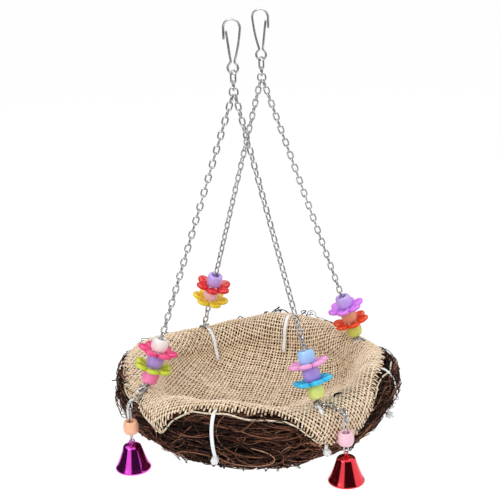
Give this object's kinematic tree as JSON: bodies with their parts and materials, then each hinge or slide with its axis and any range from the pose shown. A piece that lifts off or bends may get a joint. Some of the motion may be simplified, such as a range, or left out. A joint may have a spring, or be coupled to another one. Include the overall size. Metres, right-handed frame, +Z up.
{
  "type": "hanging bird nest",
  "caption": "Bowl nest of wound twigs with a burlap liner, hung by chains from two snap hooks, with flower beads on the chains and bells under the rim.",
  "frame": {"origin": "midway between the seats of the two hooks, where the bar they hang on would be", "axes": "+Z up, -Y to the front with the bells, +X to the right seen from the front"},
  "size_m": [0.2042, 0.2042, 0.2975],
  "materials": {
    "steel": "bright nickel plate",
    "twigs": "rough, wound twigs",
    "burlap": "open weave",
    "twine": "twisted",
    "nylon": "satin",
    "plastic_pink": "gloss",
    "plastic_lime": "gloss",
    "plastic_lavender": "gloss",
    "plastic_hot_pink": "gloss",
    "plastic_cream": "gloss",
    "plastic_pale_yellow_green": "gloss",
    "plastic_cyan": "gloss",
    "plastic_light_pink": "gloss",
    "plastic_light_blue": "gloss",
    "plastic_yellow": "gloss",
    "plastic_pale_pink": "gloss",
    "plastic_red": "gloss",
    "plastic_lilac": "gloss",
    "plastic_yellow_green": "gloss",
    "plastic_orange": "gloss",
    "plastic_peach": "gloss",
    "plastic_violet_pink": "gloss",
    "plastic_bell_peach": "gloss",
    "anodised_front_left": "gloss metallic",
    "plastic_bell_pink": "gloss",
    "anodised_front_right": "gloss metallic"
  },
  "bodies": {
    "hooks": {"front_hook": "steel", "back_hook": "steel"},
    "front_gate": {"front_hook_gate": "steel"},
    "back_gate": {"back_hook_gate": "steel"},
    "top_links": {"front_top_link": "steel", "back_top_link": "steel"},
    "front_chains": {"front_junction_link": "steel", "front_fork_link": "steel", "front_left_chain": "steel", "front_right_chain": "steel"},
    "back_chains": {"back_junction_link": "steel", "back_fork_link": "steel", "back_left_chain": "steel", "back_right_chain": "steel"},
    "nest": {"nest_bowl": "twigs", "burlap_liner": "burlap", "lashing_string": "twine", "front_side_tie": "nylon", "right_side_tie": "nylon", "back_side_tie": "nylon", "left_side_tie": "nylon", "front_left_corner_tie": "nylon", "front_left_anchor_ring": "steel", "front_right_corner_tie": "nylon", "front_right_anchor_ring": "steel", "back_left_corner_tie": "nylon", "back_left_anchor_ring": "steel", "back_right_corner_tie": "nylon", "back_right_anchor_ring": "steel", "front_left_drop_chain": "steel", "front_right_drop_chain": "steel"},
    "front_left_bead_1": {"front_left_bead_1": "plastic_pink"},
    "front_left_flower_1": {"front_left_flower_1": "plastic_lime"},
    "front_left_bead_2": {"front_left_bead_2": "plastic_lavender"},
    "front_left_flower_2": {"front_left_flower_2": "plastic_hot_pink"},
    "front_left_bead_3": {"front_left_bead_3": "plastic_cream"},
    "front_right_bead_1": {"front_right_bead_1": "plastic_pale_yellow_green"},
    "front_right_flower_1": {"front_right_flower_1": "plastic_cyan"},
    "front_right_bead_2": {"front_right_bead_2": "plastic_lavender"},
    "front_right_flower_2": {"front_right_flower_2": "plastic_light_pink"},
    "front_right_bead_3": {"front_right_bead_3": "plastic_light_blue"},
    "back_left_flower_1": {"back_left_flower_1": "plastic_yellow"},
    "back_left_bead_1": {"back_left_bead_1": "plastic_pale_pink"},
    "back_left_flower_2": {"back_left_flower_2": "plastic_red"},
    "back_left_bead_2": {"back_left_bead_2": "plastic_lilac"},
    "back_right_bead_1": {"back_right_bead_1": "plastic_yellow_green"},
    "back_right_flower_1": {"back_right_flower_1": "plastic_orange"},
    "back_right_bead_2": {"back_right_bead_2": "plastic_peach"},
    "back_right_flower_2": {"back_right_flower_2": "plastic_violet_pink"},
    "back_right_bead_3": {"back_right_bead_3": "plastic_lilac"},
    "front_left_strand": {"front_left_bell_hanger": "steel", "front_left_bell_bead": "plastic_bell_peach"},
    "front_left_bell": {"front_left_bell": "anodised_front_left"},
    "front_left_clapper": {"front_left_clapper": "steel"},
    "front_right_strand": {"front_right_bell_hanger": "steel", "front_right_bell_bead": "plastic_bell_pink"},
    "front_right_bell": {"front_right_bell": "anodised_front_right"},
    "front_right_clapper": {"front_right_clapper": "steel"}
  },
  "joints": [
    {"name": "front_gate_flex", "type": "hinge", "parent": "hooks", "child": "front_gate", "pos_m": [-0.00142, -0.031, -0.02526], "axis": [0, 1, 0], "range_deg": [0, 14], "stiffness_Nm_per_rad": 0.02},
    {"name": "back_gate_flex", "type": "hinge", "parent": "hooks", "child": "back_gate", "pos_m": [0.00142, 0.031, -0.02526], "axis": [0, -1, 0], "range_deg": [0, 14], "stiffness_Nm_per_rad": 0.02},
    {"name": "side_sway", "type": "hinge", "parent": "hooks", "child": "top_links", "pos_m": [0, 0, -0.03258], "axis": [0, 1, 0], "range_deg": [-25, 25]},
    {"name": "front_swing", "type": "hinge", "parent": "top_links", "child": "front_chains", "pos_m": [0, -0.031, -0.03938], "axis": [1, 0, 0], "range_deg": [-8, 8]},
    {"name": "back_swing", "type": "hinge", "parent": "top_links", "child": "back_chains", "pos_m": [0, 0.031, -0.03938], "axis": [1, 0, 0], "range_deg": [-8, 8]},
    {"name": "nest_level", "type": "hinge", "parent": "front_chains", "child": "nest", "pos_m": [0.00064, -0.05985, -0.24292], "axis": [0.9999, 0.0106, 0], "range_deg": [-5, 5]},
    {"name": "front_left_stack_slide", "type": "slide", "parent": "front_chains", "child": "front_left_bead_1", "axis": [0.2832, 0.1439, 0.9482], "range_m": [0, 0.1]},
    {"name": "front_left_flower_1_spin", "type": "hinge", "parent": "front_left_bead_1", "child": "front_left_flower_1", "pos_m": [-0.05921, -0.06048, -0.24292], "axis": [0.2832, 0.1439, 0.9482], "continuous": true},
    {"name": "front_left_bead_2_spin", "type": "hinge", "parent": "front_left_bead_1", "child": "front_left_bead_2", "pos_m": [-0.05921, -0.06048, -0.24292], "axis": [0.2832, 0.1439, 0.9482], "continuous": true},
    {"name": "front_left_flower_2_spin", "type": "hinge", "parent": "front_left_bead_1", "child": "front_left_flower_2", "pos_m": [-0.05921, -0.06048, -0.24292], "axis": [0.2832, 0.1439, 0.9482], "continuous": true},
    {"name": "front_left_bead_3_spin", "type": "hinge", "parent": "front_left_bead_1", "child": "front_left_bead_3", "pos_m": [-0.05921, -0.06048, -0.24292], "axis": [0.2832, 0.1439, 0.9482], "continuous": true},
    {"name": "front_right_stack_slide", "type": "slide", "parent": "front_chains", "child": "front_right_bead_1", "axis": [-0.2892, 0.1376, 0.9473], "range_m": [0, 0.1]},
    {"name": "front_right_flower_1_spin", "type": "hinge", "parent": "front_right_bead_1", "child": "front_right_flower_1", "pos_m": [0.06048, -0.05921, -0.24292], "axis": [-0.2892, 0.1376, 0.9473], "continuous": true},
    {"name": "front_right_bead_2_spin", "type": "hinge", "parent": "front_right_bead_1", "child": "front_right_bead_2", "pos_m": [0.06048, -0.05921, -0.24292], "axis": [-0.2892, 0.1376, 0.9473], "continuous": true},
    {"name": "front_right_flower_2_spin", "type": "hinge", "parent": "front_right_bead_1", "child": "front_right_flower_2", "pos_m": [0.06048, -0.05921, -0.24292], "axis": [-0.2892, 0.1376, 0.9473], "continuous": true},
    {"name": "front_right_bead_3_spin", "type": "hinge", "parent": "front_right_bead_1", "child": "front_right_bead_3", "pos_m": [0.06048, -0.05921, -0.24292], "axis": [-0.2892, 0.1376, 0.9473], "continuous": true},
    {"name": "back_left_stack_slide", "type": "slide", "parent": "back_chains", "child": "back_left_flower_1", "axis": [0.2907, -0.1365, 0.947], "range_m": [-0.015, 0.085]},
    {"name": "back_left_bead_1_spin", "type": "hinge", "parent": "back_left_flower_1", "child": "back_left_bead_1", "pos_m": [-0.06085, 0.05901, -0.24298], "axis": [0.2907, -0.1365, 0.947], "continuous": true},
    {"name": "back_left_flower_2_spin", "type": "hinge", "parent": "back_left_flower_1", "child": "back_left_flower_2", "pos_m": [-0.06085, 0.05901, -0.24298], "axis": [0.2907, -0.1365, 0.947], "continuous": true},
    {"name": "back_left_bead_2_spin", "type": "hinge", "parent": "back_left_flower_1", "child": "back_left_bead_2", "pos_m": [-0.06085, 0.05901, -0.24298], "axis": [0.2907, -0.1365, 0.947], "continuous": true},
    {"name": "back_right_stack_slide", "type": "slide", "parent": "back_chains", "child": "back_right_bead_1", "axis": [-0.2822, -0.1457, 0.9482], "range_m": [0, 0.1]},
    {"name": "back_right_flower_1_spin", "type": "hinge", "parent": "back_right_bead_1", "child": "back_right_flower_1", "pos_m": [0.05901, 0.06085, -0.24298], "axis": [-0.2822, -0.1457, 0.9482], "continuous": true},
    {"name": "back_right_bead_2_spin", "type": "hinge", "parent": "back_right_bead_1", "child": "back_right_bead_2", "pos_m": [0.05901, 0.06085, -0.24298], "axis": [-0.2822, -0.1457, 0.9482], "continuous": true},
    {"name": "back_right_flower_2_spin", "type": "hinge", "parent": "back_right_bead_1", "child": "back_right_flower_2", "pos_m": [0.05901, 0.06085, -0.24298], "axis": [-0.2822, -0.1457, 0.9482], "continuous": true},
    {"name": "back_right_bead_3_spin", "type": "hinge", "parent": "back_right_bead_1", "child": "back_right_bead_3", "pos_m": [0.05901, 0.06085, -0.24298], "axis": [-0.2822, -0.1457, 0.9482], "continuous": true},
    {"name": "front_left_strand_swing", "type": "hinge", "parent": "nest", "child": "front_left_strand", "pos_m": [-0.06399, -0.08238, -0.2519], "axis": [-0.7071, -0.7071, 0], "range_deg": [-12, 20]},
    {"name": "front_left_bell_swing", "type": "hinge", "parent": "front_left_strand", "child": "front_left_bell", "pos_m": [-0.06399, -0.08238, -0.2751], "axis": [0.7071, -0.7071, 0], "range_deg": [-25, 12]},
    {"name": "front_left_clapper_swing", "type": "hinge", "parent": "front_left_bell", "child": "front_left_clapper", "pos_m": [-0.06399, -0.08238, -0.2811], "axis": [-0.7071, -0.7071, 0], "range_deg": [-11, 11]},
    {"name": "front_right_strand_swing", "type": "hinge", "parent": "nest", "child": "front_right_strand", "pos_m": [0.08132, -0.07, -0.2495], "axis": [0.7071, -0.7071, 0], "range_deg": [-4, 20]},
    {"name": "front_right_bell_swing", "type": "hinge", "parent": "front_right_strand", "child": "front_right_bell", "pos_m": [0.08132, -0.07, -0.2727], "axis": [0.7071, 0.7071, 0], "range_deg": [-25, 12]},
    {"name": "front_right_clapper_swing", "type": "hinge", "parent": "front_right_bell", "child": "front_right_clapper", "pos_m": [0.08132, -0.07, -0.2787], "axis": [0.7071, -0.7071, 0], "range_deg": [-11, 11]}
  ],
  "couplings": [
    {"joint": "back_swing", "follows": "front_swing", "ratio": 1},
    {"joint": "nest_level", "follows": "front_swing", "ratio": -0.51799}
  ]
}
